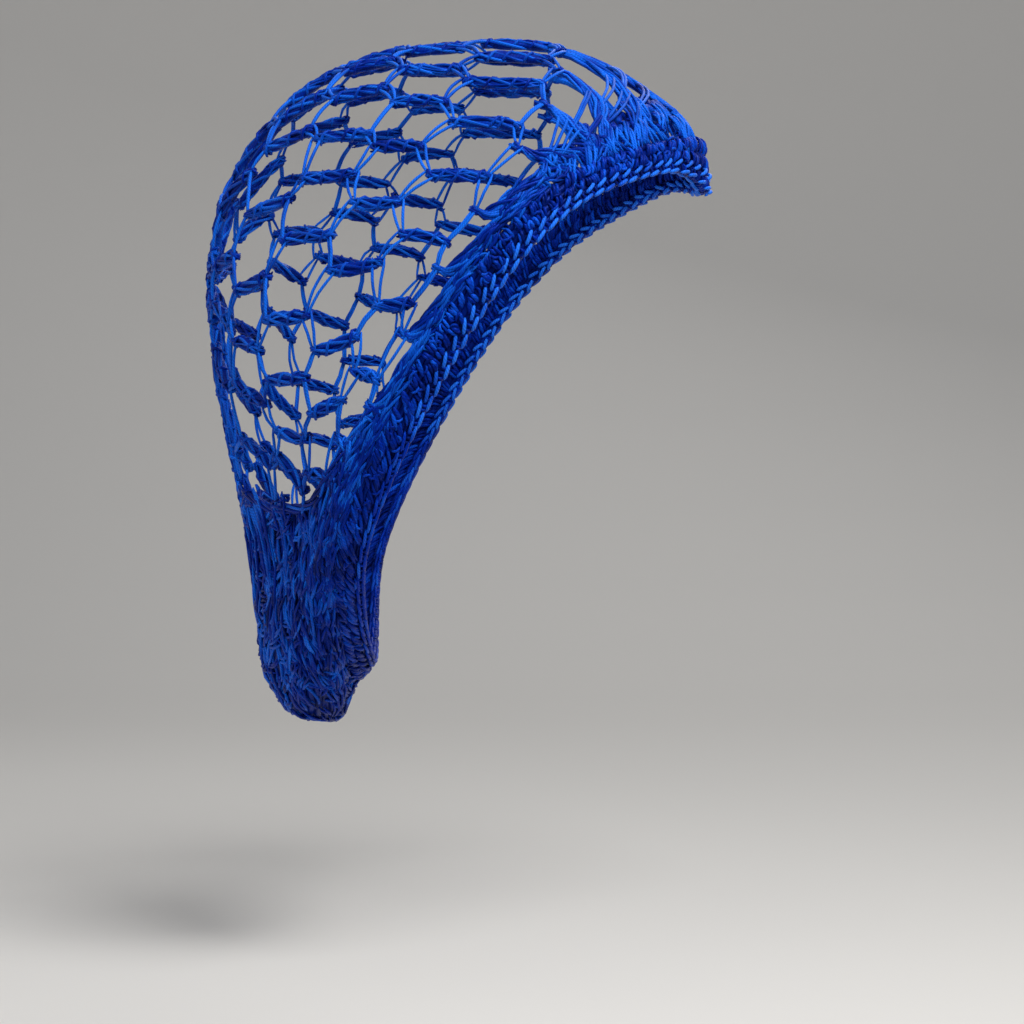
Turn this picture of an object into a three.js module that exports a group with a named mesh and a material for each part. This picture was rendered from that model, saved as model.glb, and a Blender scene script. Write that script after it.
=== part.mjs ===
// A crochet hair snood: an open honeycomb net of yarn bars worked in rounds from the back of the
// head, a dense stitched band round the face and the nape, and a chain edge below the band.
// Millimetres. +X points to the forehead, +Z up. The origin is where the crown of the head
// touches the inside of the net.
import * as THREE from "three";

// Driving sizes of the worn snood
const BAG_LENGTH = 178;
const BAG_HEIGHT = 244;
const BAG_HALF_WIDTH = 75;

// The net: thickness and width of its yarn bars, and how deep its gathers are
const NET_WALL = 2.6;
const BAR_WIDTH = 3.6;
const GATHER_DEPTH = 1.5;

// The band, the chain edge below it, and the gap that keeps one piece off the next
const BAND_WIDTH = 6.2;
const BAND_THICKNESS = 3.8;
const EDGE_WIDTH = 3.8;
const EDGE_THICKNESS = 4.6;
const SEAM_GAP = 0.3;

// The band and the edge grow into a roll over the middle of the forehead: this many times as
// wide and as thick there, easing off over this length of rim to either side
const ROLL_WIDENING = 1.9;
const ROLL_THICKENING = 1.7;
const ROLL_REACH = 20;

// The surface of the worn snood. Each row is a round of the net, a loop from the crown to the
// low point of the pouch. Each place has its distance forward as a share of BAG_LENGTH and its
// drop as a share of BAG_HEIGHT, and off the middle its spread as a share of BAG_HALF_WIDTH.
const SECTIONS = [
  { round: 0, top: [0.004, 0.337], shoulder: [0.002, 0.343, 0.044], side: [0.002, 0.356, 0.061],
    hip: [0.002, 0.369, 0.044], low: [0.004, 0.375] },
  { round: 1, top: [0.051, 0.205], shoulder: [0.034, 0.25, 0.24], side: [0.024, 0.378, 0.333],
    hip: [0.026, 0.489, 0.253], low: [0.03, 0.529] },
  { round: 2, top: [0.154, 0.097], shoulder: [0.115, 0.201, 0.467], side: [0.073, 0.405, 0.56],
    hip: [0.077, 0.576, 0.44], low: [0.063, 0.662] },
  { round: 3, top: [0.271, 0.04], shoulder: [0.243, 0.149, 0.6], side: [0.144, 0.405, 0.747],
    hip: [0.156, 0.647, 0.56], low: [0.089, 0.77] },
  { round: 4, top: [0.391, 0.013], shoulder: [0.37, 0.134, 0.693], side: [0.243, 0.405, 0.893],
    hip: [0.215, 0.674, 0.667], low: [0.101, 0.854] },
  { round: 5, top: [0.532, 0.003], shoulder: [0.478, 0.152, 0.8], side: [0.352, 0.402, 0.973],
    hip: [0.243, 0.688, 0.733], low: [0.113, 0.922] },
  { round: 6, top: [0.694, 0.01], shoulder: [0.643, 0.152, 0.838], side: [0.438, 0.399, 1],
    hip: [0.256, 0.703, 0.76], low: [0.15, 0.969] },
  { round: 7, top: [0.785, 0.034], shoulder: [0.674, 0.178, 0.86], side: [0.458, 0.408, 1],
    hip: [0.262, 0.715, 0.767], low: [0.186, 0.988] },
  { round: 9, top: [0.887, 0.081], shoulder: [0.687, 0.204, 0.875], side: [0.468, 0.417, 0.993],
    hip: [0.27, 0.724, 0.76], low: [0.255, 0.99] },
  { round: 12, top: [0.976, 0.145], shoulder: [0.7, 0.239, 0.88], side: [0.481, 0.43, 0.98],
    hip: [0.282, 0.736, 0.747], low: [0.289, 0.934] },
  { round: 13, top: [0.994, 0.222], shoulder: [0.724, 0.277, 0.865], side: [0.521, 0.448, 0.95],
    hip: [0.327, 0.749, 0.705], low: [0.32, 0.91] },
];

// The net, round by round: how many bars reach a round from the one before it, and how far from
// the crown the cells between them are pulled open, as a share of the loop: 0.5 is its low point.
// Past that they are drawn together into a closed gather. The stretch of the net draws the knots
// at the sides up to the crown by the last column, as a share of the loop.
const NET_ROUNDS = [
  { round: 1, bars: 8, openTo: 0.5, drawnUp: 0 },
  { round: 2, bars: 14, openTo: 0.5, drawnUp: 0 },
  { round: 3, bars: 20, openTo: 0.44, drawnUp: 0 },
  { round: 4, bars: 26, openTo: 0.4, drawnUp: 0.005 },
  { round: 5, bars: 26, openTo: 0.37, drawnUp: 0.015, seat: true },
  { round: 6, bars: 26, openTo: 0.33, drawnUp: 0.015 },
  { round: 7, bars: 26, openTo: 0.2, drawnUp: 0.01 },
  { round: 8, bars: 26, openTo: 0.1, drawnUp: 0 },
  { round: 9, bars: 26, openTo: 0, drawnUp: 0 },
  { round: 10, bars: 26, openTo: 0, drawnUp: 0 },
  { round: 11, bars: 26, openTo: 0, drawnUp: 0 },
  { round: 12, bars: 26, openTo: 0, drawnUp: 0 },
];
const LAST_ROUND = NET_ROUNDS.length;
const RIM_ROUND = LAST_ROUND + 1;

// The head touches the knot of this round that is nearest the middle of the crown
const SEAT_ROUND = NET_ROUNDS.find((row) => row.seat).round;

// Where new bars start between two bars of the round before, as shares of the way from one to
// the next: one bar, or two where the net widens. The rim has three plain knots there.
const ONE_BAR = [0.5];
const TWO_BARS = [0.27, 0.73];
const RIM_KNOTS = [0.25, 0.5, 0.75];
const RIM_STEPS = NET_ROUNDS[LAST_ROUND - 1].bars * (RIM_KNOTS.length + 1);

// Where the gathers start and where they are deepest, in rounds, and for the pouch also in shares
// of the loop from the crown
const BAND_GATHER = { from: 6, full: 9, flatFrom: 11 };
const POUCH_GATHER = { from: 2.5, full: 5, shareFrom: 0.36, shareFull: 0.46 };

// A round chain swings in and out between its bars by this share of a round, and each of its
// knots lies off the even pattern by up to these shares of a round and of a cell
const ZIGZAG = 0.1;
const UNEVEN_ROUND = 0.055;
const UNEVEN_CELL = 0.09;

// A gap's corners lie at most this many half bars off the cell's corners, and a cell stays closed
// where a side of its gap would be shorter than this share of the cell's side
const MITRE_LIMIT = 2.2;
const SHORTEST_GAP_SIDE = 0.15;

// Cubic through a short table: knots rising, one value for each
function curveThrough(knots, values, at) {
  const last = knots.length - 1;
  let i = 0;
  while (i < last - 1 && at > knots[i + 1]) i += 1;
  const tangent = (j) => {
    const before = Math.max(j - 1, 0);
    const after = Math.min(j + 1, last);
    return (values[after] - values[before]) / (knots[after] - knots[before]);
  };
  const span = knots[i + 1] - knots[i];
  const t = (at - knots[i]) / span;
  const start = values[i] * (1 + 2 * t) * (1 - t) * (1 - t) + tangent(i) * span * t * (1 - t) * (1 - t);
  const end = values[i + 1] * t * t * (3 - 2 * t) - tangent(i + 1) * span * t * t * (1 - t);
  return start + end;
}

// The eight places that a round of the surface passes, from the crown down the near side and
// back up the far side
function roundPlaces(round) {
  const knots = SECTIONS.map((row) => row.round);
  const place = (name, mirror) => {
    const value = (axis) => curveThrough(knots, SECTIONS.map((row) => row[name][axis] ?? 0), round);
    return new THREE.Vector3(
      value(0) * BAG_LENGTH, mirror * value(2) * BAG_HALF_WIDTH, -value(1) * BAG_HEIGHT);
  };
  return [
    place("top", 0), place("shoulder", -1), place("side", -1), place("hip", -1),
    place("low", 0), place("hip", 1), place("side", 1), place("shoulder", 1),
  ];
}

// A round as a closed curve measured along its length, made once for each round asked for
const loops = new Map();
function roundLoop(round) {
  const key = round.toFixed(5);
  if (!loops.has(key)) {
    loops.set(key, new THREE.CatmullRomCurve3(roundPlaces(round), true, "catmullrom", 0.5));
  }
  return loops.get(key);
}

function surfacePoint(round, share) {
  return roundLoop(round).getPointAt(share - Math.floor(share));
}

// The surface at a round and a share of its loop: the point, the way to the rim and the way out
function surfaceFrame(round, share) {
  const stepRound = 0.05;
  const stepShare = 0.004;
  const point = surfacePoint(round, share);
  const along = surfacePoint(round, share + stepShare).sub(surfacePoint(round, share - stepShare));
  const toRim = surfacePoint(Math.min(round + stepRound, RIM_ROUND), share)
    .sub(surfacePoint(Math.max(round - stepRound, 0), share));
  const out = along.clone().cross(toRim).normalize();
  return { point, toRim: out.clone().cross(along).normalize(), out };
}

// How far round the loop a share lies from the crown, either way: 0 to 0.5
function fromCrown(share) {
  const wrapped = share - Math.floor(share);
  return Math.min(wrapped, 1 - wrapped);
}

function smoothStep(from, to, value) {
  const t = Math.min(Math.max((value - from) / (to - from), 0), 1);
  return t * t * (3 - 2 * t);
}

// The gathers: pleats that run to the rim, one for each bar, deepest by the band and in the pouch
// and flat again at the rim itself
const PLEATS = NET_ROUNDS[NET_ROUNDS.length - 1].bars;
function gather(round, share) {
  const byBand = smoothStep(BAND_GATHER.from, BAND_GATHER.full, round);
  const inPouch = smoothStep(POUCH_GATHER.from, POUCH_GATHER.full, round)
    * smoothStep(POUCH_GATHER.shareFrom, POUCH_GATHER.shareFull, fromCrown(share));
  const atRim = smoothStep(BAND_GATHER.flatFrom, LAST_ROUND, round);
  const amount = Math.min(byBand + inPouch, 1) * (1 - atRim);
  return GATHER_DEPTH * amount * Math.cos(2 * Math.PI * PLEATS * share);
}

// A fixed uneven value between -1 and 1 for a knot of the net
function uneven(round, index, salt) {
  const wave = Math.sin(round * 12.9898 + index * 78.233 + salt * 37.719) * 43758.5453;
  return 2 * (wave - Math.floor(wave)) - 1;
}

// The knots of every round chain, in order round the loop. A knot of kind "in" ends a bar from
// the round before, a knot of kind "out" starts a bar to the next round.
function chainKnots() {
  const chains = [];
  let inShares = [];
  for (let round = 0; round <= LAST_ROUND; round += 1) {
    const next = NET_ROUNDS.find((row) => row.round === round + 1);
    const outCount = next ? next.bars : inShares.length;
    const outShares = [];
    if (round === 0) {
      for (let i = 0; i < outCount; i += 1) outShares.push((i + 0.5) / outCount);
    } else {
      const extra = outCount - inShares.length;
      inShares.forEach((share, i) => {
        const after = i + 1 < inShares.length ? inShares[i + 1] : inShares[0] + 1;
        const pair = Math.floor(((i + 1) * extra) / inShares.length)
          > Math.floor((i * extra) / inShares.length);
        const barSteps = pair ? TWO_BARS : ONE_BAR;
        const steps = next ? barSteps : RIM_KNOTS;
        steps.forEach((step) => outShares.push(share + (after - share) * step));
      });
    }
    const swing = round > 0 && round < LAST_ROUND ? ZIGZAG : 0;
    const drawnUp = round > 0 ? NET_ROUNDS[round - 1].drawnUp : 0;
    const knot = (kind, share, i, sign) => ({
      kind,
      share: share - drawnUp * Math.sin(2 * Math.PI * share)
        + (swing ? (UNEVEN_CELL * uneven(round, i, sign)) / outCount : 0),
      round: round + sign * swing + (swing ? UNEVEN_ROUND * uneven(round, i, sign + 5) : 0),
    });
    const knots = inShares.map((share, i) => knot("in", share, i, -1))
      .concat(outShares.map((share, i) => knot("out", share, i, 1)));
    knots.sort((a, b) => a.share - b.share);
    chains.push(knots);
    const offsets = outShares.map((share, i) => share * outCount - i);
    const offset = Math.round((2 * offsets.reduce((sum, value) => sum + value, 0)) / outCount) / 2;
    const settle = outCount > inShares.length ? 0.5 : 1;
    inShares = outShares.map((share, i) => share + settle * ((i + offset) / outCount - share));
  }
  return chains;
}

// A net surface in the making: points on its outer and inner skins, and its triangles
class Wall {
  constructor() {
    this.positions = [];
    this.triangles = [];
  }

  point(vector) {
    this.positions.push(vector.x, vector.y, vector.z);
    return this.positions.length / 3 - 1;
  }

  triangle(a, b, c) {
    this.triangles.push(a, b, c);
  }

  quad(a, b, c, d) {
    this.triangle(a, b, c);
    this.triangle(a, c, d);
  }

  geometry() {
    const geometry = new THREE.BufferGeometry();
    geometry.setAttribute("position", new THREE.Float32BufferAttribute(this.positions, 3));
    geometry.setIndex(this.triangles);
    geometry.computeVertexNormals();
    return geometry;
  }
}

// The outline of a cell moved in by half a bar, in the cell's own plane, or null where the cell
// is too narrow for a gap
function cellGap(corners, middle, out) {
  const half = BAR_WIDTH / 2;
  const inset = corners.map((corner, i) => {
    const before = corners[(i + corners.length - 1) % corners.length];
    const after = corners[(i + 1) % corners.length];
    const arriving = corner.point.clone().sub(before.point).normalize();
    const leaving = after.point.clone().sub(corner.point).normalize();
    const inA = out.clone().cross(arriving);
    const inB = out.clone().cross(leaving);
    const mitre = inA.clone().add(inB).multiplyScalar(half / Math.max(1 + inA.dot(inB), 0.2));
    return corner.point.clone().add(mitre.clampLength(0, MITRE_LIMIT * half));
  });
  const open = corners.every((corner, i) => {
    const next = (i + 1) % corners.length;
    const side = corners[next].point.clone().sub(corner.point);
    const gapSide = inset[next].clone().sub(inset[i]);
    return gapSide.dot(side) > SHORTEST_GAP_SIDE * side.lengthSq();
  });
  const roomy = inset.every((point) => point.distanceTo(middle) > half / 2);
  return open && roomy ? inset : null;
}

// The net bag: one wall, cut through in a gap for each open cell
function netBag() {
  const wall = new Wall();
  const chains = chainKnots();
  const half = NET_WALL / 2;
  chains.forEach((knots) => knots.forEach((knot) => {
    const { point, out } = surfaceFrame(knot.round, knot.share);
    knot.out = out;
    knot.point = point.addScaledVector(out, gather(knot.round, knot.share));
    knot.outer = wall.point(knot.point.clone().addScaledVector(out, half));
    knot.inner = wall.point(knot.point.clone().addScaledVector(out, -half));
  }));

  const addCell = (corners, mayOpen) => {
    const count = corners.length;
    const middle = new THREE.Vector3();
    const out = new THREE.Vector3();
    corners.forEach((corner) => {
      middle.addScaledVector(corner.point, 1 / count);
      out.add(corner.out);
    });
    out.normalize();
    const gap = mayOpen ? cellGap(corners, middle, out) : null;
    if (gap) {
      const outerGap = gap.map((point) => wall.point(point.clone().addScaledVector(out, half)));
      const innerGap = gap.map((point) => wall.point(point.clone().addScaledVector(out, -half)));
      corners.forEach((corner, i) => {
        const next = (i + 1) % count;
        wall.quad(corner.outer, corners[next].outer, outerGap[next], outerGap[i]);
        wall.quad(corners[next].inner, corner.inner, innerGap[i], innerGap[next]);
        wall.quad(outerGap[i], outerGap[next], innerGap[next], innerGap[i]);
      });
      return;
    }
    const outerMiddle = wall.point(middle.clone().addScaledVector(out, half));
    const innerMiddle = wall.point(middle.clone().addScaledVector(out, -half));
    corners.forEach((corner, i) => {
      const next = corners[(i + 1) % count];
      wall.triangle(corner.outer, next.outer, outerMiddle);
      wall.triangle(next.inner, corner.inner, innerMiddle);
    });
  };

  // The knots of a chain from one of its knots on to another, both included
  const stretch = (knots, from, to) => {
    const found = [];
    let i = knots.indexOf(from);
    while (knots[i] !== to) {
      found.push(knots[i]);
      i = (i + 1) % knots.length;
    }
    found.push(to);
    return found;
  };

  addCell([...chains[0]].reverse(), true);
  NET_ROUNDS.forEach(({ round, bars, openTo }) => {
    const inner = chains[round - 1];
    const outer = chains[round];
    const starts = inner.filter((knot) => knot.kind === "out");
    const ends = outer.filter((knot) => knot.kind === "in");
    for (let i = 0; i < bars; i += 1) {
      const next = (i + 1) % bars;
      const nearPole = stretch(inner, starts[i], starts[next]);
      const nearRim = stretch(outer, ends[i], ends[next]);
      const turn = fromCrown(nearRim[0].share + 0.5 / bars);
      addCell(nearPole.concat(nearRim.reverse()), turn <= openTo);
    }
  });

  const rim = chains[LAST_ROUND];
  rim.forEach((knot, i) => {
    const next = rim[(i + 1) % rim.length];
    wall.quad(knot.outer, next.outer, next.inner, knot.inner);
  });
  return wall.geometry();
}

// How much of the forehead roll there is at a share of the rim, 1 in the middle of the forehead
function roll(share) {
  const reach = ROLL_REACH / roundLoop(LAST_ROUND).getLength();
  return Math.exp(-((fromCrown(share) / reach) ** 2));
}

// A ring that follows the rim of the net, a strip with a rounded section. It lies past the seam
// gaps and the rings before it, whose widths are given.
function rimRing(before, width, thickness, sides) {
  const ring = new Wall();
  const sections = [];
  for (let i = 0; i < RIM_STEPS; i += 1) {
    const share = i / RIM_STEPS;
    const { point, out: netOut } = surfaceFrame(LAST_ROUND, share);
    const down = surfacePoint(RIM_ROUND, share).sub(point);
    const along = down.clone().cross(netOut).normalize();
    const out = along.clone().cross(down).normalize();
    const toRim = out.clone().cross(along);
    const widening = 1 + (ROLL_WIDENING - 1) * roll(share);
    const thickening = 1 + (ROLL_THICKENING - 1) * roll(share);
    const halfWide = (width * widening) / 2;
    const halfThick = (thickness * thickening) / 2;
    const start = before.reduce((sum, each) => sum + each * widening + SEAM_GAP, SEAM_GAP);
    const middle = point.addScaledVector(toRim, start + halfWide);
    const section = [];
    for (let side = 0; side < sides; side += 1) {
      const angle = ((side + 0.5) / sides) * 2 * Math.PI;
      section.push(ring.point(middle.clone()
        .addScaledVector(toRim, Math.cos(angle) * halfWide)
        .addScaledVector(out, Math.sin(angle) * halfThick)));
    }
    sections.push(section);
  }
  sections.forEach((section, i) => {
    const next = sections[(i + 1) % RIM_STEPS];
    section.forEach((corner, side) => {
      const after = (side + 1) % sides;
      ring.quad(corner, section[after], next[after], next[side]);
    });
  });
  return ring.geometry();
}

const yarn = (color, roughness) => new THREE.MeshStandardMaterial({
  color,
  roughness,
  metalness: 0,
});

function piece(name, geometry, material) {
  const mesh = new THREE.Mesh(geometry, material);
  mesh.name = name;
  return mesh;
}

const snood = new THREE.Group();
snood.add(piece("net_bag", netBag(), yarn(0x0b46d0, 0.45)));
snood.add(piece("brim_band", rimRing([], BAND_WIDTH, BAND_THICKNESS, 8), yarn(0x0a3cba, 0.5)));
snood.add(piece("edge_chain", rimRing([BAND_WIDTH], EDGE_WIDTH, EDGE_THICKNESS, 6),
  yarn(0x1a55dd, 0.42)));

// The crown of the head touches the inner skin of the net at a knot, which is the origin
const seatKnot = chainKnots()[SEAT_ROUND].reduce(
  (best, knot) => (fromCrown(knot.share) < fromCrown(best.share) ? knot : best));
const seat = surfaceFrame(seatKnot.round, seatKnot.share);
const seatPoint = seat.point.addScaledVector(seat.out, -NET_WALL / 2);
snood.position.copy(seatPoint.negate());

export default snood;
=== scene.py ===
# Looks for a worn crochet hair snood: the net, the gathers, the band and the edge are laid as yarn,
# strand by strand, on the same surface as the solids. Lengths are millimetres until a mesh is made.
import math

import bmesh
import bpy
import numpy as np
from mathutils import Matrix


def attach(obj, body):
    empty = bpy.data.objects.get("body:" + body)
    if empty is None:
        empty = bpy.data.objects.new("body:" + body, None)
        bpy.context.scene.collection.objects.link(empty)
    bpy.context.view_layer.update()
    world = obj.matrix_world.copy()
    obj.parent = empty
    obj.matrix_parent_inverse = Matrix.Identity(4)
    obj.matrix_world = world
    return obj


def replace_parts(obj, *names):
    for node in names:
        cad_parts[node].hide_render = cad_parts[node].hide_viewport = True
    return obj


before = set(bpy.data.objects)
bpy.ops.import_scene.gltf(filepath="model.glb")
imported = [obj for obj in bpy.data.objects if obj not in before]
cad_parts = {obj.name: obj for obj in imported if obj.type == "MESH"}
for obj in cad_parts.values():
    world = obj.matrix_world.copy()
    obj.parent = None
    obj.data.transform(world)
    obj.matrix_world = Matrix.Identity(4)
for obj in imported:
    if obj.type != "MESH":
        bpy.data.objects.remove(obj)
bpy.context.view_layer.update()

MM = 0.001
TURN = 2 * math.pi

# Sizes of the worn snood, as in its solids
BAG_LENGTH = 178.0
BAG_HEIGHT = 244.0
BAG_HALF_WIDTH = 75.0
NET_WALL = 2.6
BAND_WIDTH = 6.2
SEAM_GAP = 0.3
ROLL_WIDENING = 1.9
ROLL_THICKENING = 1.7
ROLL_REACH = 20.0
LAST_ROUND = 12
RIM_ROUND = 13
SEAT_ROUND = 5

# The yarn: a smooth rayon crochet thread of three plies
YARN = 1.15
PLY_LAY = 3.4

# The surface, as shares of the sizes above: forward, drop and, off the middle, spread
PLACES = ("top", "shoulder", "side", "hip", "low")
SECTIONS = (
    (0, (0.004, 0.337), (0.002, 0.343, 0.044), (0.002, 0.356, 0.061), (0.002, 0.369, 0.044),
     (0.004, 0.375)),
    (1, (0.051, 0.205), (0.034, 0.25, 0.24), (0.024, 0.378, 0.333), (0.026, 0.489, 0.253),
     (0.03, 0.529)),
    (2, (0.154, 0.097), (0.115, 0.201, 0.467), (0.073, 0.405, 0.56), (0.077, 0.576, 0.44),
     (0.063, 0.662)),
    (3, (0.271, 0.04), (0.243, 0.149, 0.6), (0.144, 0.405, 0.747), (0.156, 0.647, 0.56),
     (0.089, 0.77)),
    (4, (0.391, 0.013), (0.37, 0.134, 0.693), (0.243, 0.405, 0.893), (0.215, 0.674, 0.667),
     (0.101, 0.854)),
    (5, (0.532, 0.003), (0.478, 0.152, 0.8), (0.352, 0.402, 0.973), (0.243, 0.688, 0.733),
     (0.113, 0.922)),
    (6, (0.694, 0.01), (0.643, 0.152, 0.838), (0.438, 0.399, 1), (0.256, 0.703, 0.76),
     (0.15, 0.969)),
    (7, (0.785, 0.034), (0.674, 0.178, 0.86), (0.458, 0.408, 1), (0.262, 0.715, 0.767),
     (0.186, 0.988)),
    (9, (0.887, 0.081), (0.687, 0.204, 0.875), (0.468, 0.417, 0.993), (0.27, 0.724, 0.76),
     (0.255, 0.99)),
    (12, (0.976, 0.145), (0.7, 0.239, 0.88), (0.481, 0.43, 0.98), (0.282, 0.736, 0.747),
     (0.289, 0.934)),
    (13, (0.994, 0.222), (0.724, 0.277, 0.865), (0.521, 0.448, 0.95), (0.327, 0.749, 0.705),
     (0.32, 0.91)),
)

# The net's rounds: bars that reach each round, and how far its knots are drawn up at the sides
BARS = (0, 8, 14, 20, 26, 26, 26, 26, 26, 26, 26, 26, 26)
DRAWN_UP = (0, 0, 0, 0, 0.005, 0.015, 0.015, 0.01, 0, 0, 0, 0, 0)
ONE_BAR = (0.5,)
TWO_BARS = (0.27, 0.73)
ZIGZAG = 0.1
UNEVEN_ROUND = 0.055
UNEVEN_CELL = 0.09


# The surface

def curve_through(knots, values, at):
    """Cubic through a short table: knots rising, one value for each."""
    last = len(knots) - 1
    i = 0
    while i < last - 1 and at > knots[i + 1]:
        i += 1

    def tangent(j):
        before, after = max(j - 1, 0), min(j + 1, last)
        return (values[after] - values[before]) / (knots[after] - knots[before])

    span = knots[i + 1] - knots[i]
    t = (at - knots[i]) / span
    start = values[i] * (1 + 2 * t) * (1 - t) ** 2 + tangent(i) * span * t * (1 - t) ** 2
    end = values[i + 1] * t * t * (3 - 2 * t) - tangent(i + 1) * span * t * t * (1 - t)
    return start + end


CORNER_STEPS = 24


def round_loop(at_round, count):
    """Points evenly spaced along a round, from the crown down the near side and up the far side."""
    knots = [row[0] for row in SECTIONS]
    corners = []
    for name, mirror in (("top", 0), ("shoulder", -1), ("side", -1), ("hip", -1),
                         ("low", 0), ("hip", 1), ("side", 1), ("shoulder", 1)):
        column = 1 + PLACES.index(name)
        value = [curve_through(knots, [(row[column] + (0,))[axis] for row in SECTIONS], at_round)
                 for axis in range(3 if mirror else 2)] + [0]
        corners.append((value[0] * BAG_LENGTH, mirror * value[2] * BAG_HALF_WIDTH,
                        -value[1] * BAG_HEIGHT))
    corners = np.array(corners)
    steps = np.linspace(0, 1, CORNER_STEPS + 1)[:-1, None]
    pieces = []
    for i in range(len(corners)):
        a, b, c, d = (corners[(i + k) % len(corners)] for k in (-1, 0, 1, 2))
        m, n = (c - a) / 2, (d - b) / 2
        pieces.append(b + m * steps + (3 * (c - b) - 2 * m - n) * steps ** 2
                      + (2 * (b - c) + m + n) * steps ** 3)
    dense = np.concatenate(pieces + [corners[:1]])
    length = np.concatenate([[0], np.cumsum(np.linalg.norm(np.diff(dense, axis=0), axis=1))])
    even = np.linspace(0, length[-1], count + 1)[:-1]
    return np.stack([np.interp(even, length, dense[:, axis]) for axis in range(3)], axis=1)


# The surface worked out once, on a grid of rounds and shares of the loop
GRID_STEP = 0.05
GRID_SHARES = 640
GRID = np.stack([round_loop(k * GRID_STEP, GRID_SHARES)
                 for k in range(int(round(RIM_ROUND / GRID_STEP)) + 1)])


def surface_point(rounds, shares):
    """Points of the surface at rounds and shares of a loop, both arrays."""
    row = np.clip(np.asarray(rounds, float) / GRID_STEP, 0, len(GRID) - 1.001)
    column = (np.asarray(shares, float) % 1.0) * GRID_SHARES
    r0, c0 = row.astype(int), column.astype(int) % GRID_SHARES
    fr, fc = (row - r0)[..., None], (column - np.floor(column))[..., None]
    c1 = (c0 + 1) % GRID_SHARES
    near = GRID[r0, c0] * (1 - fc) + GRID[r0, c1] * fc
    far = GRID[r0 + 1, c0] * (1 - fc) + GRID[r0 + 1, c1] * fc
    return near * (1 - fr) + far * fr


def unit(vectors):
    return vectors / np.maximum(np.linalg.norm(vectors, axis=-1, keepdims=True), 1e-9)


# How far to either side of a point its directions are taken
NEAR_SHARE = 0.005
NEAR_ROUND = 0.12


def surface_out(rounds, shares):
    """The way out of the surface."""
    rounds, shares = np.asarray(rounds, float), np.asarray(shares, float)
    along = surface_point(rounds, shares + NEAR_SHARE) - surface_point(rounds, shares - NEAR_SHARE)
    to_rim = surface_point(np.minimum(rounds + NEAR_ROUND, RIM_ROUND), shares) \
        - surface_point(np.maximum(rounds - NEAR_ROUND, 0), shares)
    return unit(np.cross(along, to_rim))


def from_crown(shares):
    """How far round the loop a share lies from the crown, either way: 0 to 0.5."""
    wrapped = np.asarray(shares) % 1.0
    return np.minimum(wrapped, 1 - wrapped)


def smooth_step(start, stop, value):
    t = np.clip((np.asarray(value, float) - start) / (stop - start), 0, 1)
    return t * t * (3 - 2 * t)


RIM_LENGTH = float(np.linalg.norm(
    np.diff(surface_point(np.full(2001, float(LAST_ROUND)), np.linspace(0, 1, 2001)), axis=0),
    axis=1).sum())

# Shares from the crown between which the forehead ends, and between which the nape begins
FOREHEAD_ENDS = (0.08, 0.16)
NAPE_BEGINS = (0.24, 0.36)


def over_forehead(share):
    """How much a share of the loop lies over the forehead: 1 at the crown, 0 beside the face."""
    return 1 - float(smooth_step(*FOREHEAD_ENDS, from_crown(share)))


def near_nape(share):
    """How much a share of the loop lies near the nape: 0 beside the face, 1 at the nape."""
    return float(smooth_step(*NAPE_BEGINS, from_crown(share)))


# The net's knots

def uneven(at_round, index, salt):
    """From -1 to 1, scattered over the knots, and always the same for the same knot."""
    wave = math.sin(at_round * 12.9898 + index * 78.233 + salt * 37.719) * 43758.5453
    return 2 * (wave - math.floor(wave)) - 1


def chain_knots():
    """The knots of every round chain, in order round the loop, as (kind, share, round). A bar from
    the round before ends at an "in" knot, and a bar to the next round starts at an "out" knot."""
    chains = []
    ins = []
    for at_round in range(LAST_ROUND + 1):
        last = at_round == LAST_ROUND
        out_count = len(ins) if last else BARS[at_round + 1]
        outs = []
        if at_round == 0:
            outs = [(i + 0.5) / out_count for i in range(out_count)]
        else:
            extra = out_count - len(ins)
            for i, share in enumerate(ins):
                after = ins[i + 1] if i + 1 < len(ins) else ins[0] + 1
                pair = (i + 1) * extra // len(ins) > i * extra // len(ins)
                outs += [share + (after - share) * step for step in (TWO_BARS if pair else ONE_BAR)]
        swings = 0 < at_round < LAST_ROUND

        def knot(kind, share, i, sign):
            moved = share - DRAWN_UP[at_round] * math.sin(TURN * share)
            level = at_round
            if swings:
                moved += UNEVEN_CELL * uneven(at_round, i, sign) / out_count
                level += sign * ZIGZAG + UNEVEN_ROUND * uneven(at_round, i, sign + 5)
            return (kind, moved, level)

        knots = [knot("in", share, i, -1) for i, share in enumerate(ins)]
        knots += [knot("out", share, i, 1) for i, share in enumerate(outs)]
        chains.append(sorted(knots, key=lambda each: each[1]))
        # The next round's knots settle towards even places, half way where the round grows
        mean = sum(share * out_count - i for i, share in enumerate(outs)) / out_count
        offset = math.floor(2 * mean + 0.5) / 2
        settle = 0.5 if out_count > len(ins) else 1
        ins = [share + settle * ((i + offset) / out_count - share)
               for i, share in enumerate(outs)]
    return chains


CHAINS = chain_knots()
SEAT_KNOT = min(CHAINS[SEAT_ROUND], key=lambda knot: from_crown(knot[1]))
SEAT = surface_point(SEAT_KNOT[2], SEAT_KNOT[1]) \
    - surface_out(SEAT_KNOT[2], SEAT_KNOT[1]) * NET_WALL / 2


# Laying yarn

# The shade of a strand runs from 0, deep, to 1, bright, and each differs a little from its tone
SHADE_SPREAD = 0.36


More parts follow.
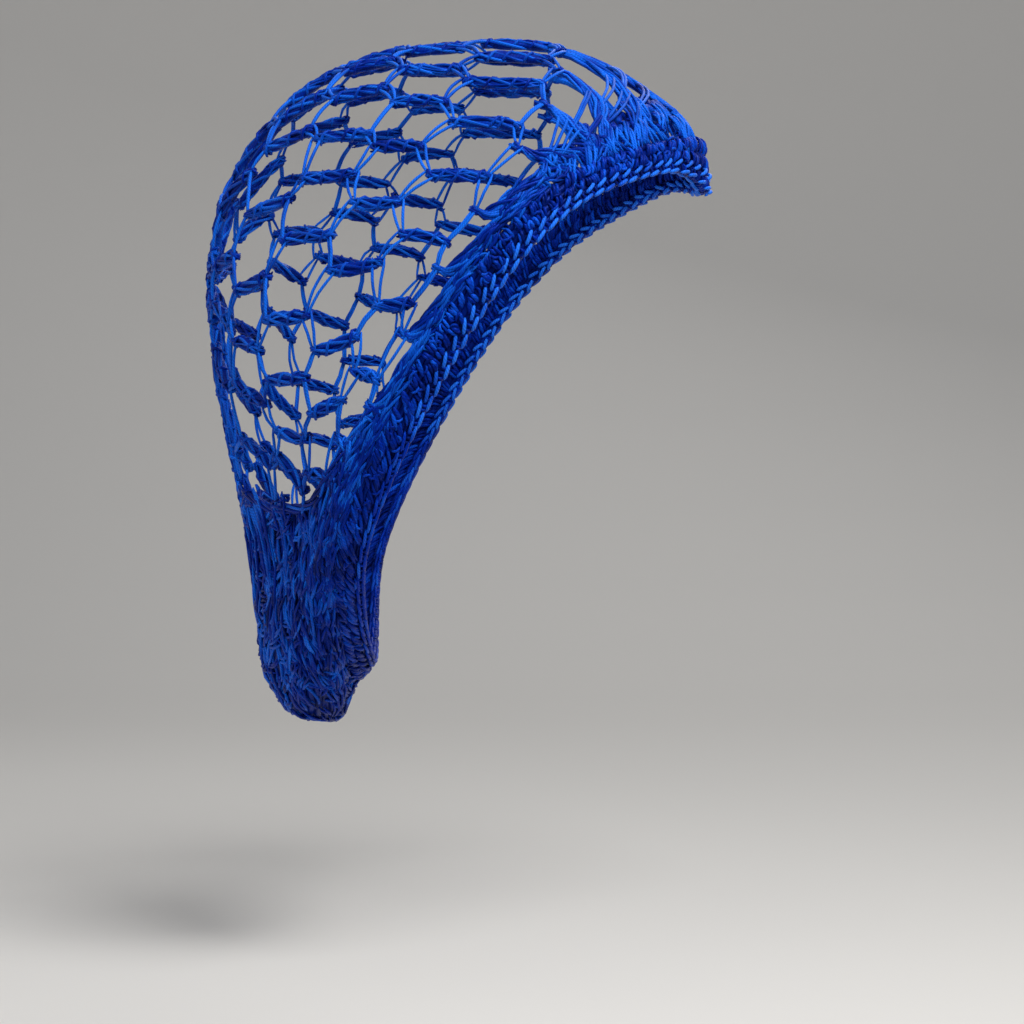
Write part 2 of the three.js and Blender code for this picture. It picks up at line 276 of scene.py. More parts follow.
class Skein:
    """Strands of yarn that become one mesh: each a path of points, its thickness, whether its ends
    taper, and its shade."""

    def __init__(self, seed):
        self.strands = []
        self.rng = np.random.default_rng(seed)

    def lay(self, points, thickness=YARN, taper=True, tone=0.5):
        shade = tone + SHADE_SPREAD * (self.rng.random() - 0.5)
        self.strands.append((np.asarray(points, float), thickness, taper, shade))

    def on_surface(self, rounds, shares, sideways, depth, thickness=YARN, tone=0.5):
        """A strand along rounds and shares of the surface, shifted sideways and outwards."""
        middle = surface_point(rounds, shares)
        out = surface_out(rounds, shares)
        along = unit(np.gradient(middle, axis=0))
        side = unit(np.cross(out, along))
        self.lay(middle + side * np.asarray(sideways)[:, None] + out * np.asarray(depth)[:, None],
                 thickness, tone=tone)


YARN_SIDES = 6

# How thick the last and the last but one ring of a strand are, for a yarn and for a thicker strand
YARN_ENDS = (0.4, 0.85)
THICK_STRAND = 1.6
THICK_ENDS = (0.15, 0.6)


def sweep(strands):
    """Rounded tubes of yarn along the strands: points, faces, yarn coordinates and shades."""
    all_points, all_faces, all_uv, all_shade = [], [], [], []
    offset = 0
    groups = {}
    for strand in strands:
        groups.setdefault(len(strand[0]), []).append(strand)
    turn = np.arange(YARN_SIDES) * TURN / YARN_SIDES
    for count, group in sorted(groups.items()):
        path = np.stack([strand[0] for strand in group])
        radius = np.array([strand[1] for strand in group])[:, None] / 2
        radius = np.repeat(radius, count, axis=1)
        for k, (_, thickness, tapers, _) in enumerate(group):
            if tapers:
                last, last_but_one = YARN_ENDS if thickness < THICK_STRAND else THICK_ENDS
                radius[k, [0, -1]] *= last
                radius[k, [1, -2]] *= last_but_one
        forward = unit(np.gradient(path, axis=1))
        # The rings start square to the strand and are carried along it without a twist
        start = np.where(np.abs(forward[:, 0, 2:3]) < 0.8, [[0.0, 0.0, 1.0]], [[1.0, 0.0, 0.0]])
        side = np.empty_like(path)
        side[:, 0] = unit(np.cross(forward[:, 0], start))
        for i in range(1, count):
            carried = side[:, i - 1]
            carried = carried - forward[:, i] * np.sum(carried * forward[:, i], axis=1)[:, None]
            side[:, i] = unit(carried)
        up = np.cross(forward, side)
        ring = path[:, :, None] + radius[:, :, None, None] * (
            side[:, :, None] * np.cos(turn)[None, None, :, None]
            + up[:, :, None] * np.sin(turn)[None, None, :, None])
        strands_here = len(group)
        index = offset + np.arange(strands_here * count * YARN_SIDES).reshape(
            strands_here, count, YARN_SIDES)
        following = np.roll(index, -1, axis=2)
        wall = np.stack([index[:, :-1], following[:, :-1], following[:, 1:], index[:, 1:]], axis=-1)
        # Two faces close each end
        first, final = index[:, 0], index[:, -1]
        caps = np.concatenate([first[:, [0, 3, 2, 1]], first[:, [0, 5, 4, 3]],
                               final[:, [0, 1, 2, 3]], final[:, [0, 3, 4, 5]]])
        all_points.append(ring.reshape(-1, 3))
        all_faces.append(wall.reshape(-1, 4))
        all_faces.append(caps)
        step = np.linalg.norm(np.diff(path, axis=1), axis=2)
        reach = np.concatenate([np.zeros((strands_here, 1)), np.cumsum(step, axis=1)], axis=1)
        u = np.repeat(reach[:, :, None], YARN_SIDES, axis=2)
        v = np.broadcast_to(turn / TURN, u.shape)
        all_uv.append(np.stack([u, v], axis=-1).reshape(-1, 2))
        shade = np.array([strand[3] for strand in group])[:, None, None]
        all_shade.append(np.broadcast_to(shade, u.shape).reshape(-1))
        offset += strands_here * count * YARN_SIDES
    return (np.concatenate(all_points), np.concatenate(all_faces), np.concatenate(all_uv),
            np.concatenate(all_shade))


def make_piece(name, skein, material):
    """One mesh of all the strands of a skein, with its yarn coordinates, on the root body."""
    points, faces, uv, shade = sweep(skein.strands)
    points = (points - SEAT) * MM
    mesh = bpy.data.meshes.new(name)
    mesh.vertices.add(len(points))
    mesh.vertices.foreach_set("co", points.ravel())
    mesh.loops.add(faces.size)
    mesh.loops.foreach_set("vertex_index", faces.ravel())
    mesh.polygons.add(len(faces))
    mesh.polygons.foreach_set("loop_start", np.arange(len(faces)) * 4)
    mesh.polygons.foreach_set("use_smooth", np.ones(len(faces), bool))
    mesh.update(calc_edges=True)
    # Round a strand the coordinate runs on past 1 in the face that closes the ring
    corner_uv = uv[faces]
    wraps = corner_uv[:, :, 1].max(axis=1) - corner_uv[:, :, 1].min(axis=1) > 0.5
    low = corner_uv[:, :, 1] < 0.5
    corner_uv[:, :, 1] += (wraps[:, None] & low)
    layer = mesh.uv_layers.new(name="yarn")
    layer.data.foreach_set("uv", (corner_uv / (PLY_LAY, 1)).ravel())
    tint = mesh.attributes.new("shade", "FLOAT", "POINT")
    tint.data.foreach_set("value", shade)
    mesh.validate()
    mesh.materials.append(material)
    piece = bpy.data.objects.new(name, mesh)
    bpy.context.scene.collection.objects.link(piece)
    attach(piece, "root")
    return piece


# Stitches

# Millimetres between the points of a strand, and the fewest and most points that it has
CHAIN_POINTS = (1.7, 5, 11)
BAR_POINTS = (1.7, 6, 12)

# The chain stitch: how many are drawn tight, how far its legs open then, and how far from its
# middle each leg starts
TIGHT_CHAINS = 0.4
TIGHT_OPENING = 0.15
LEG_OFFSET = 0.35
# Chains lie outermost on the net and are set bright: painted highlight
CHAIN_TONE = 0.85

# The bar: its strands and thin plies, its turns in a bar of this length, its shades, and the
# millimetres between the yarn-overs on it. The core is set dark, painted shade deep in the bar,
# and the strands that cross over it light, painted highlight
BAR_STRANDS = 4
BAR_PLIES = 4
BAR_TWIST = 0.45
BAR_LENGTH = 15.0
SHADED_CORE_TONE = 0.32
STRAND_TONE = 0.68
PLY_TONE = 0.5
WRAP_SPACING = 6

# The knot, and the share of the loop to either side over which its direction is taken
KNOT_TURNS = 3
KNOT_SHARE = 0.004


def knot_gap(start, stop):
    """How far apart two knots are."""
    here, there = surface_point(start[2], start[1]), surface_point(stop[2], stop[1])
    return float(np.linalg.norm(there - here))


def point_count(length, step, fewest, most):
    return int(np.clip(length / step, fewest, most))


def place(share, level):
    """A place on the surface, written as a knot."""
    return ("", share, level)


def chain_stitch(skein, start, stop, width, depth=0.0, tone=CHAIN_TONE):
    """An elongated chain stitch from one knot to the next: two thin legs, close together at the
    start and open like a narrow V at the end, or drawn tight into one line with a kink."""
    rng = skein.rng
    t = np.linspace(-0.1, 1.1, point_count(knot_gap(start, stop), *CHAIN_POINTS))
    inside = np.clip(t, 0, 1)
    rounds = start[2] + (stop[2] - start[2]) * t
    shares = start[1] + (stop[1] - start[1]) * t
    tight = rng.random() < TIGHT_CHAINS
    opening = TIGHT_OPENING if tight else width * rng.uniform(0.8, 1.3)
    spread = LEG_OFFSET + opening * inside ** 0.8
    kink = rng.uniform(-0.8, 0.8) * (1 - np.abs(2 * inside - 1))
    lift = depth + 0.55 + 0.6 * np.sin(inside * math.pi) ** 0.75
    for hand in (-1, 1):
        skein.on_surface(rounds, shares, hand * spread + kink, lift - 0.2 * hand, tone=tone)


def bar(skein, start, stop, width):
    """A tall stitch between two rounds: a soft core set dark as painted shade, strands that run
    along its borders and cross over it, set light as painted highlight, loose thin plies, and
    yarn-overs wrapped round it."""
    rng = skein.rng
    length = knot_gap(start, stop)
    t = np.linspace(-0.06, 1.06, point_count(length, *BAR_POINTS))
    inside = np.clip(t, 0, 1)
    rounds = start[2] + (stop[2] - start[2]) * t
    shares = start[1] + (stop[1] - start[1]) * t
    turns = BAR_TWIST * max(length / BAR_LENGTH, 0.6) * rng.uniform(0.7, 1.3)
    phase = TURN * rng.random()
    belly = 0.5 + 0.5 * np.sin(inside * math.pi) ** 0.5
    sag = rng.uniform(-0.06, 0.06) * length * np.sin(inside * math.pi)
    for hand in (-1, 1):
        skein.on_surface(rounds, shares, sag + hand * 0.5 * width * belly, 0.15 * hand + 0 * t,
                         1.35 * width, SHADED_CORE_TONE)
    for k in range(BAR_STRANDS):
        angle = phase + TURN * (k / BAR_STRANDS + turns * t)
        loose = width * rng.uniform(0.95, 1.3)
        skein.on_surface(rounds, shares, sag + loose * belly * np.cos(angle),
                         1.45 * np.sin(angle) * rng.uniform(0.85, 1.15), tone=STRAND_TONE)
    for _ in range(BAR_PLIES):
        angle = phase + TURN * (rng.random() + rng.uniform(-0.5, 0.5) * t)
        wobble = 0.3 * np.sin(TURN * (t * 2.5 + rng.random()))
        skein.on_surface(rounds, shares, sag + (width * 1.2 + wobble) * belly * np.cos(angle),
                         (1.6 + wobble) * np.sin(angle), YARN * 0.6, PLY_TONE)
    wraps = int(length / WRAP_SPACING)
    for k in range(wraps):
        middle = (k + 0.5 + rng.uniform(-0.35, 0.35)) / wraps
        s = np.linspace(-1, 1, 8)
        run = middle + s * rng.uniform(2.2, 3.7) / length
        around = s * math.pi * 0.9 + rng.uniform(-0.15, 0.15)
        skein.on_surface(start[2] + (stop[2] - start[2]) * run,
                         start[1] + (stop[1] - start[1]) * run,
                         np.interp(run, t, sag) + (width + 0.5) * np.sin(around),
                         1.75 * np.cos(around), tone=PLY_TONE)


def knot_wrap(skein, knot, size):
    """The loops where a bar is worked into a round chain: a lump of short turns of yarn."""
    rng = skein.rng
    middle = surface_point(knot[2], knot[1])
    out = surface_out(knot[2], knot[1])
    along = unit(surface_point(knot[2], knot[1] + KNOT_SHARE)
                 - surface_point(knot[2], knot[1] - KNOT_SHARE))
    across = np.cross(out, along)
    for k in range(KNOT_TURNS):
        s = np.linspace(0, 1, 9)
        angle = TURN * (0.95 * s + rng.random())
        tilt = rng.uniform(-0.8, 0.8)
        drift = (s - 0.5) * size * 1.5 * (1 if k % 2 else -1)
        reach = size * rng.uniform(0.8, 1.15)
        points = middle + out * (0.85 * reach * np.sin(angle))[:, None] \
            + across * (reach * np.cos(angle))[:, None] \
            + along * (drift + tilt * np.cos(angle))[:, None]
        skein.lay(points)


# The open net

NET_CHAIN_WIDTH = 1.5
NET_KNOT = 1.55
BAR_WIDTH = 1.75
CROWN_BAR_EXTRA = 0.6
CROWN_REACH = 0.07


def of_kind(knots, kind):
    """The knots of a round chain that are "in" or "out" knots."""
    return [knot for knot in knots if knot[0] == kind]


def next_knot(knots, i):
    """The knot after number i round the loop, its share running on past 1."""
    kind, share, level = knots[(i + 1) % len(knots)]
    return (kind, share + (1 if i + 1 == len(knots) else 0), level)


def net_rounds(first, last, seed):
    """The bars and round chains of the rounds from first to last."""
    skein = Skein(seed)
    for at_round in range(first, last + 1):
        knots = CHAINS[at_round]
        for i, knot in enumerate(knots):
            chain_stitch(skein, next_knot(knots, i), knot, NET_CHAIN_WIDTH)
            knot_wrap(skein, knot, NET_KNOT)
        starts = of_kind(CHAINS[at_round - 1], "out") if at_round else []
        for start, end in zip(starts, of_kind(knots, "in")):
            extra = CROWN_BAR_EXTRA if from_crown(end[1]) < CROWN_REACH else 0
            bar(skein, start, end, BAR_WIDTH + extra)
    return skein


# The gathers

LAST_OPEN_ROUND = 6
GATHER_STRANDS = 7
GATHER_END = LAST_ROUND + 0.15

# The round chains that still show between the gathered bars: where each starts on the bar nearer
# the crown, how far it drops to the next bar, and how far from the crown they reach
CROSS_LEVELS = (7.3, 8.5)
CROSS_DROP = 1.0
CROSS_REACH = 0.15

# The inner layer's arches of thick yarn: their spacing along the band in millimetres, and the
# rounds at which they start and at which the highest of them turn back beside the face
ARCH_SPACING = 6
ARCH_YARN = 2.8
ARCH_FOOT = LAST_ROUND + 0.1
ARCH_TOP = 9.4

# How far inside the surface the inner layers of the gathers and the pouch lie
INNER_DEPTH = -0.7

# The round chains that are pushed together inside the gathers
FRONT_CHAINS = 70
SIDE_CHAINS = 230
GATHERED_WIDTH = 0.9


def gather_drift(away):
    """How far towards the crown a gathered bundle runs on its way to the band, as a share of
    the loop, at this share from the crown: over the forehead it runs the other way."""
    down_front = -0.035 * np.sin(np.clip(away / 0.1, 0, 1) * math.pi)
    up_side = 0.036 * smooth_step(0.1, 0.17, away) * (1 - smooth_step(0.38, 0.46, away))
    return float(down_front + up_side)


def gathered_bar(skein, knot, target, spacing):
    """A bar of loosely twisted strands from a knot of the last open round to the band, which
    holds together and then fans out over its spacing along the band."""
    rng = skein.rng
    front = over_forehead(knot[1])
    t = np.linspace(-0.03, 1, 16)
    held = np.clip(t, 0, 1)
    inside = np.sin(held * math.pi)
    rounds = knot[2] + (GATHER_END - knot[2]) * t
    belly = 0.6 + (1.0 + 0.4 * front) * inside ** 0.8
    for k in range(GATHER_STRANDS):
        at_rim = target + spacing * ((k + rng.random()) / GATHER_STRANDS - 0.5)
        fan = smooth_step(0.25 + 0.3 * (rng.random() + front), 1.1, held)
        shares = knot[1] + (target - knot[1]) * smooth_step(0, 1, held) \
            + (at_rim - target) * fan / fan[-1]
        phase = TURN * rng.random()
        turns = rng.uniform(0.55, 1.35)
        sway = (0.7 + 0.8 * front) * inside * np.sin(
            TURN * (t * rng.uniform(0.8, 1.7) + rng.random()))
        height = (0.9 + 0.6 * front) * rng.uniform(-0.35, 0.65) * inside
        for strand in range(3):
            angle = phase + TURN * (strand / 3 + turns * t)
            loose = belly * rng.uniform(0.6, 1.4)
            # Brighter over the forehead: painted highlight on the top front, where the light falls
            skein.on_surface(rounds, shares, sway + loose * np.cos(angle),
                             height + 0.9 * rng.uniform(0.7, 1.3) * np.sin(angle),
                             YARN * rng.uniform(0.8, 1.15),
                             rng.uniform(0.2, 0.8) + 0.25 * front)


def inner_arches(skein):
    """The inner layer of the gathers: arches of thick yarn that rise from the band and turn back
    to it, higher over the forehead. They are set dark, painted shade under the gathers, and
    lighter over the forehead, painted highlight on the top front."""
    rng = skein.rng
    count = int(RIM_LENGTH / ARCH_SPACING)
    for i in range(count):
        share = (i + rng.random()) / count
        front = over_forehead(share)
        top = ARCH_TOP - front + rng.uniform(0, 1.1)
        t = np.linspace(0, 1, 13)
        rise = np.sin(t * math.pi) ** 0.45
        drift = (1 if share < 0.5 else -1) * gather_drift(float(from_crown(share))) * 0.35
        skein.on_surface(ARCH_FOOT - (ARCH_FOOT - top) * rise,
                         share + drift * rise + 0.013 * (t - 0.5),
                         0.4 * np.sin(TURN * (1.3 * t + rng.random())),
                         INNER_DEPTH + 0 * t, ARCH_YARN, 0.12 + 0.35 * front)


def band_gathers(seed):
    """The net drawn together from its last open round to the band: a gathered bar from each knot,
    the round chains that still show between them, and an inner layer."""
    skein = Skein(seed)
    rng = skein.rng
    knots = of_kind(CHAINS[LAST_OPEN_ROUND], "out")
    bars = []
    for knot in knots:
        side = 1 if knot[1] % 1 < 0.5 else -1
        target = knot[1] - side * gather_drift(float(from_crown(knot[1])))
        bars.append((knot, target))
        gathered_bar(skein, knot, target, 1 / len(knots))

    def on_bar(i, level):
        """The knot that a round chain makes with gathered bar number i at this level."""
        knot, target = bars[i % len(bars)]
        held = (level - knot[2]) / (GATHER_END - knot[2])
        share = knot[1] + (target - knot[1]) * float(smooth_step(0, 1, held))
        return place(share + (1 if i == len(bars) else 0), level)

    for level in CROSS_LEVELS:
        for i in range(len(bars)):
            near, far = (i, i + 1) if bars[i][0][1] % 1 < 0.5 else (i + 1, i)
            upper = on_bar(near, level + rng.uniform(-0.25, 0.25))
            lower = on_bar(far, level + CROSS_DROP + rng.uniform(-0.2, 0.2))
            if max(from_crown(upper[1]), from_crown(lower[1])) < CROSS_REACH:
                chain_stitch(skein, lower, upper, 1.0, 0.4, 0.65)
                knot_wrap(skein, lower, 1.3)
    inner_arches(skein)
    return skein


def gathered_chains(seed):
    """The round chains inside the gathers: over the forehead they run steeply to the band, at
    the sides they are pushed together in short waves with their knots. Those over the forehead
    are set brighter, painted highlight on the top front."""
    skein = Skein(seed)
    rng = skein.rng
    for _ in range(FRONT_CHAINS):
        side = 1 if rng.random() < 0.5 else -1
        share = side * rng.uniform(0.004, 0.149)
        stop = place(share, rng.uniform(8.7, 11.0))
        start = place(share + side * rng.uniform(0.003, 0.012), stop[2] + rng.uniform(0.8, 1.8))
        chain_stitch(skein, start, stop, GATHERED_WIDTH, rng.uniform(0.2, 0.7),
                     rng.uniform(0.5, 1.0))
        knot_wrap(skein, start, 1.1)
        knot_wrap(skein, stop, 1.3)
    for _ in range(SIDE_CHAINS):
        side = 1 if rng.random() < 0.5 else -1
        share = side * rng.uniform(0.13, 0.37)
        stop = place(share, 8.2 + 3.7 * rng.random() ** 0.7)
        start = place(share + rng.uniform(0.007, 0.015), stop[2] + rng.uniform(-0.9, 0.9))
        chain_stitch(skein, start, stop, GATHERED_WIDTH, rng.uniform(-0.3, 0.6),
                     rng.uniform(0.2, 0.7))
        if rng.random() < 0.4:
            knot_wrap(skein, stop, 1.15)
    return skein


# The pouch

# The round at which its closed wall begins at the back, and for each round the share of the loop,
# from the crown, up to which the net is open
POUCH_TOP = 2.3
OPEN_TO = (0.5, 0.5, 0.5, 0.44, 0.4, 0.37, 0.33, 0.3, 0.3, 0.3, 0.3, 0.3, 0.3)

# The inner rows of thick yarn, with the millimetres between their points, fewest and most
ROW_YARN = 3.4
ROW_SPACING = 3.1
ROW_POINTS = (7, 8, 60)
# The inner rows lie under the chains and are set dark: painted shade
SHADED_ROW_TONE = 0.2

# Up to which round, how many rounds lie between two rows of short chains
CHAIN_ROWS = ((5, 0.27), (7, 0.32), (LAST_ROUND, 0.5))

# The drawn row along the border: the round where it ends at the sides, its strands and twists
BORDER_END = 8.5
BORDER_STRANDS = 6
BORDER_TWISTS = 6.4

SLACK_LOOPS = 110


def pouch_border(level):
    """The share of the loop at which the closed wall of the pouch begins at this level."""
    return np.interp(np.asarray(level) + 0.5, range(len(OPEN_TO)), OPEN_TO) - 0.01


def row_step(level, first, spacing):
    """How far the level rises to the next row, at this spacing where the rows lie widest."""
    shares = np.linspace(first, 1 - first, 9)
    gaps = surface_point(np.full(9, level + 0.1), shares) - surface_point(np.full(9, level), shares)
    return 0.1 * spacing / float(np.linalg.norm(gaps, axis=1).max())


def inner_rows(skein):
    """Waved rows of thick yarn from border to border, which close the wall, set dark as painted
    shade.
    """
    level = POUCH_TOP + 0.1
    while level < LAST_ROUND - 0.1:
        first = float(pouch_border(level)) + 0.002
        shares = np.linspace(first, 1 - first,
                             point_count((1 - 2 * first) * RIM_LENGTH, *ROW_POINTS))
        wave = 0.15 * np.sin(shares * 75 + level / 2)
        skein.on_surface(level + wave, shares, 0.3 * np.sin(shares * 240 + 5 * level),
                         INNER_DEPTH + 0.3 * np.sin(shares * 170 + 3 * level), ROW_YARN, SHADED_ROW_TONE)
        level += row_step(level, first, ROW_SPACING)


def short_chains(skein):
    """Short chains drawn close together on the slant, brighter towards the back as a painted
    highlight, with the knots between them."""
    rng = skein.rng
    level = POUCH_TOP + 0.15
    while level < LAST_ROUND:
        first = float(pouch_border(level + 0.25 * math.sin(33 + level * 2)))
        painted_light_near_back = 1 - float(smooth_step(3, 7, level))
        share = first + 0.003
        while share < 1 - first:
            reach = min(rng.uniform(0.014, 0.026), 1 - first - share)
            wave = 0.25 * math.sin(share * 75 + level * 2) * min((level - POUCH_TOP) / 0.6, 1)
            hand = 1 if share < 0.5 else -1
            for part in (0.0, 0.5):
                begin = share + reach * (part + 0.3 * rng.random())
                end = min(begin + rng.uniform(0.006, 0.015), 1 - first)
                slant = rng.uniform(-0.45, 1.05) * hand
                if rng.random() < 0.8 and end > begin + 0.003:
                    low = max(level + wave, POUCH_TOP + 0.1 + 0.1 * abs(slant))
                    chain_stitch(skein, place(end, low + max(slant, 0)),
                                 place(begin, low - min(slant, 0)), 0.8, rng.uniform(0.1, 0.7),
                                 0.2 + (0.4 + 0.35 * painted_light_near_back) * rng.random())
                if rng.random() < 0.12:
                    knot_wrap(skein, place(begin, level + wave), rng.uniform(1.2, 1.8))
            share += reach * rng.uniform(0.9, 1.1) + 0.0005
        level += next(step for limit, step in CHAIN_ROWS if level < limit)


def border_row(skein):
    """The drawn row that borders the wall: down one side, across the back and up the other."""
    levels = np.linspace(BORDER_END, POUCH_TOP, 45)
    corner = float(pouch_border(POUCH_TOP))
    across = np.linspace(corner, 1 - corner, 13)[1:-1]
    rounds = np.concatenate([levels, 0 * across + POUCH_TOP, levels[::-1]])
    shares = np.concatenate([pouch_border(levels), across, 1 - pouch_border(levels[::-1])])
    twist = np.linspace(0, BORDER_TWISTS, len(rounds))
    for k in range(BORDER_STRANDS):
        angle = TURN * (k / BORDER_STRANDS + twist)
        skein.on_surface(rounds, shares, 1.3 * np.cos(angle), 0.3 + 1.1 * np.sin(angle),
                         tone=skein.rng.uniform(0.35, 0.75))


def slack_loops(skein):
    """Cells that were drawn shut, each a slack loop on the slant."""
    rng = skein.rng
    for _ in range(SLACK_LOOPS):
        level = rng.uniform(2.7, 9.2)
        first = float(pouch_border(level)) + 0.022
        share = first + (1 - 2 * first) * rng.random()
        hand = 1 if share < 0.5 else -1
        angle = np.linspace(0, rng.uniform(1.2, 2.1) * math.pi, 13) + 6 * rng.random()
        long, wide = rng.uniform(0.005, 0.012), rng.uniform(0.3, 0.65)
        # Brighter below round 5, towards the back: painted highlight
        skein.on_surface(level + wide * np.sin(angle) + 0.7 * hand * np.cos(angle),
                         share + long * np.cos(angle), 0.3 * np.sin(3 * angle),
                         1.0 + 0.4 * np.sin(2 * angle), YARN * 1.05,
                         0.45 + (0.25 + 0.35 * (level < 5)) * rng.random())


def pouch_folds(seed):
    """The closed wall of the pouch: inner rows set dark as painted shade, short chains and slack
    loops drawn together on them, and a drawn row as its border."""
    skein = Skein(seed)
    inner_rows(skein)
    short_chains(skein)
    border_row(skein)
    slack_loops(skein)
    return skein


# The band and its edge

# Core strands: millimetres down from the net's edge, out of the middle, and their thickness
BAND_CORE = ((0.8, 0.0, 2.6), (2.8, 0.0, 2.8), (4.8, 0.0, 2.8), (6.5, 0.0, 2.4))
EDGE_START = BAND_WIDTH + 2 * SEAM_GAP
EDGE_CORE = ((EDGE_START + 1.0, 0.0, 2.3), (EDGE_START + 2.5, 0.0, 1.9))
# The core strands lie under the stitches and are set nearly at the deep colour: painted shade
SHADED_RIM_CORE_TONE = 0.1

# The band's two rows of stitches, each from and to these millimetres down, and their pitch
BAND_ROWS = ((-0.7, 3.9), (2.7, 7.0))
BAND_PITCH = 3.3

# The edge's legs: slant, millimetres down from its start and out of the middle, and share of a
# pitch along it. Near the nape they draw towards the middle of the edge
EDGE_LEGS = ((1.15, 0.35, 2.0, 0.5), (0.5, 3.0, 1.6, 0.0), (0.9, 0.9, -1.7, 0.3),
             (-0.8, 2.6, -1.4, 0.8))
EDGE_PITCH = 6.4
EDGE_MIDDLE = 1.7


def rim_frame(shares):
    """Along the rim of the net: points, the way out, and the way down to the face."""
    shares = np.asarray(shares, float)
    level = np.full(shares.shape, float(LAST_ROUND))
    point = surface_point(level, shares)
    down = surface_point(np.full(shares.shape, RIM_ROUND - 0.001), shares) - point
    along = unit(np.cross(down, surface_out(level, shares)))
    out = unit(np.cross(along, down))
    return point, out, np.cross(out, along)


def roll(shares):
    """How much of the forehead roll there is, 1 in the middle of the forehead."""
    return np.exp(-(from_crown(shares) / (ROLL_REACH / RIM_LENGTH)) ** 2)


def on_rim(along, down, out):
    """Points by the rim: millimetres along it from the crown, down from the net's edge and out
    of the band's middle; down and out both grow in the roll."""
    shares = np.asarray(along, float) / RIM_LENGTH
    point, way_out, way_down = rim_frame(shares)
    widening = 1 + (ROLL_WIDENING - 1) * roll(shares)
    thickening = 1 + (ROLL_THICKENING - 1) * roll(shares)
    return point + way_down * (np.asarray(down) * widening)[:, None] \
        + way_out * (np.asarray(out) * thickening)[:, None]


def rim_core(skein, strands):
    """Thick inner strands round the rim, which the stitches cover, set dark as painted shade."""
    along = np.linspace(0, RIM_LENGTH, 321)
    for k, (down, out, thickness) in enumerate(strands):
        wave = 0.15 * np.sin(along * 0.9 + k)
        skein.lay(on_rim(along, down + wave, out + 0 * along), thickness, False, SHADED_RIM_CORE_TONE)


def band_stitches(seed):
    """Two rows of single crochet round the band, pulled tight: short posts that lean along the
    band over a core, no two alike, some crossed or ringed by the loop of the next stitch."""
    skein = Skein(seed)
    rng = skein.rng
    rim_core(skein, BAND_CORE)
    count = int(round(RIM_LENGTH / BAND_PITCH))
    t = np.linspace(0, 1, 7)
    arch = np.sin(t * math.pi) ** 0.6
    for row, (top, low) in enumerate(BAND_ROWS):
        for i in range(count):
            middle = (i + 0.5 * row + rng.uniform(-0.4, 0.4)) * RIM_LENGTH / count
            nape = near_nape(middle / RIM_LENGTH)
            lean = rng.uniform(-0.2, 3.4) * (1 - nape) \
                + nape * rng.uniform(5.5, 9.5) * (1 if i < count / 2 else -1)
            # Darker towards the nape: painted shade on the lower band
            bright = 1 - 0.5 * nape
            for beside in (-0.7, 0.6):
                along = middle + beside * rng.uniform(0.5, 1.5) + lean * (t - 0.5)
                height = rng.uniform(1.5, 2.3)
                thickness = YARN * rng.uniform(0.85, 1.35)
                down = top + rng.uniform(-0.45, 0.45) \
                    + (low - top) * (0.5 + rng.uniform(0.7, 1.1) * (t - 0.5))
                skein.lay(on_rim(along, down, 0.3 + (height - 0.3) * arch), thickness,
                          tone=0.15 + 0.55 * bright * rng.random())
                skein.lay(on_rim(along - 2 * lean * (t - 0.5), down,
                                 -0.3 - (height - 0.4) * arch), thickness,
                          tone=rng.uniform(0.15, 0.65))
            if rng.random() < 0.6 and roll(middle / RIM_LENGTH) < 0.3:
                angle = TURN * (0.15 + 0.3 * t + rng.random())
                wide = rng.uniform(1.6, 2.8)
                skein.lay(on_rim(middle + wide * np.cos(angle),
                                 (top + low) / 2 + rng.uniform(-0.75, 0.75)
                                 + 1.7 * np.sin(angle), 1.5 + 0.8 * arch),
                          YARN * 0.8, tone=0.3 + 0.5 * bright * rng.random())
    return skein


def edge_stitches(seed):
    """The chain edge: two rows of slanted legs along the front, the same behind, and short turns
    over the rim. Towards the nape the rows draw together."""
    skein = Skein(seed)
    rng = skein.rng
    rim_core(skein, EDGE_CORE)
    count = int(round(RIM_LENGTH / EDGE_PITCH))
    pitch = RIM_LENGTH / count
    t = np.linspace(0, 1, 9)
    arch = np.sin(t * math.pi) ** 0.7
    for i in range(count):
        for slant, down, out, shift in EDGE_LEGS:
            middle = (i + shift + rng.uniform(-0.1, 0.1)) * pitch
            nape = near_nape(middle / RIM_LENGTH)
            slope = slant * rng.uniform(0.8, 1.2) * (2 * t - 1) * (1 - 0.6 * nape)
            along = middle + pitch * (rng.uniform(0.82, 0.92) + 0.5 * nape) * (t - 0.5)
            drawn = down + (EDGE_MIDDLE - down) * 0.35 * nape
            # Darker towards the nape: painted shade on the lower edge
            skein.lay(on_rim(along, EDGE_START + drawn + slope, out * (0.45 + 0.55 * arch)),
                      YARN * (1.2 - 0.15 * nape), tone=0.9 - 0.5 * nape)
        for shift in (0.1, 0.4, 0.7):
            around = (t * 1.5 - 0.75) * math.pi
            along = (i + shift + rng.uniform(0, 0.15)) * pitch + 1.6 * (t - 0.5)
            skein.lay(on_rim(along, EDGE_START + 1.5 + 1.5 * np.cos(around),
                             1.35 * np.sin(around)), tone=0.15)
    return skein


# Materials

def colour(hex_code):
    """A colour written as sRGB hex, as the linear values that the shader takes."""
    values = [int(hex_code[i:i + 2], 16) / 255 for i in (1, 3, 5)]
    linear = [v / 12.92 if v <= 0.04045 else ((v + 0.055) / 1.055) ** 2.4 for v in values]
    return (*linear, 1.0)


def add(tree, kind, inputs=None, **settings):
    """A node with its settings; each input is a value or another node's output."""
    node = tree.nodes.new(kind)
    for key, value in settings.items():
        setattr(node, key, value)
    for key, value in (inputs or {}).items():
        if isinstance(value, bpy.types.NodeSocket):
            tree.links.new(value, node.inputs[key])
        else:
            node.inputs[key].default_value = value
    return node


PLIES = 3
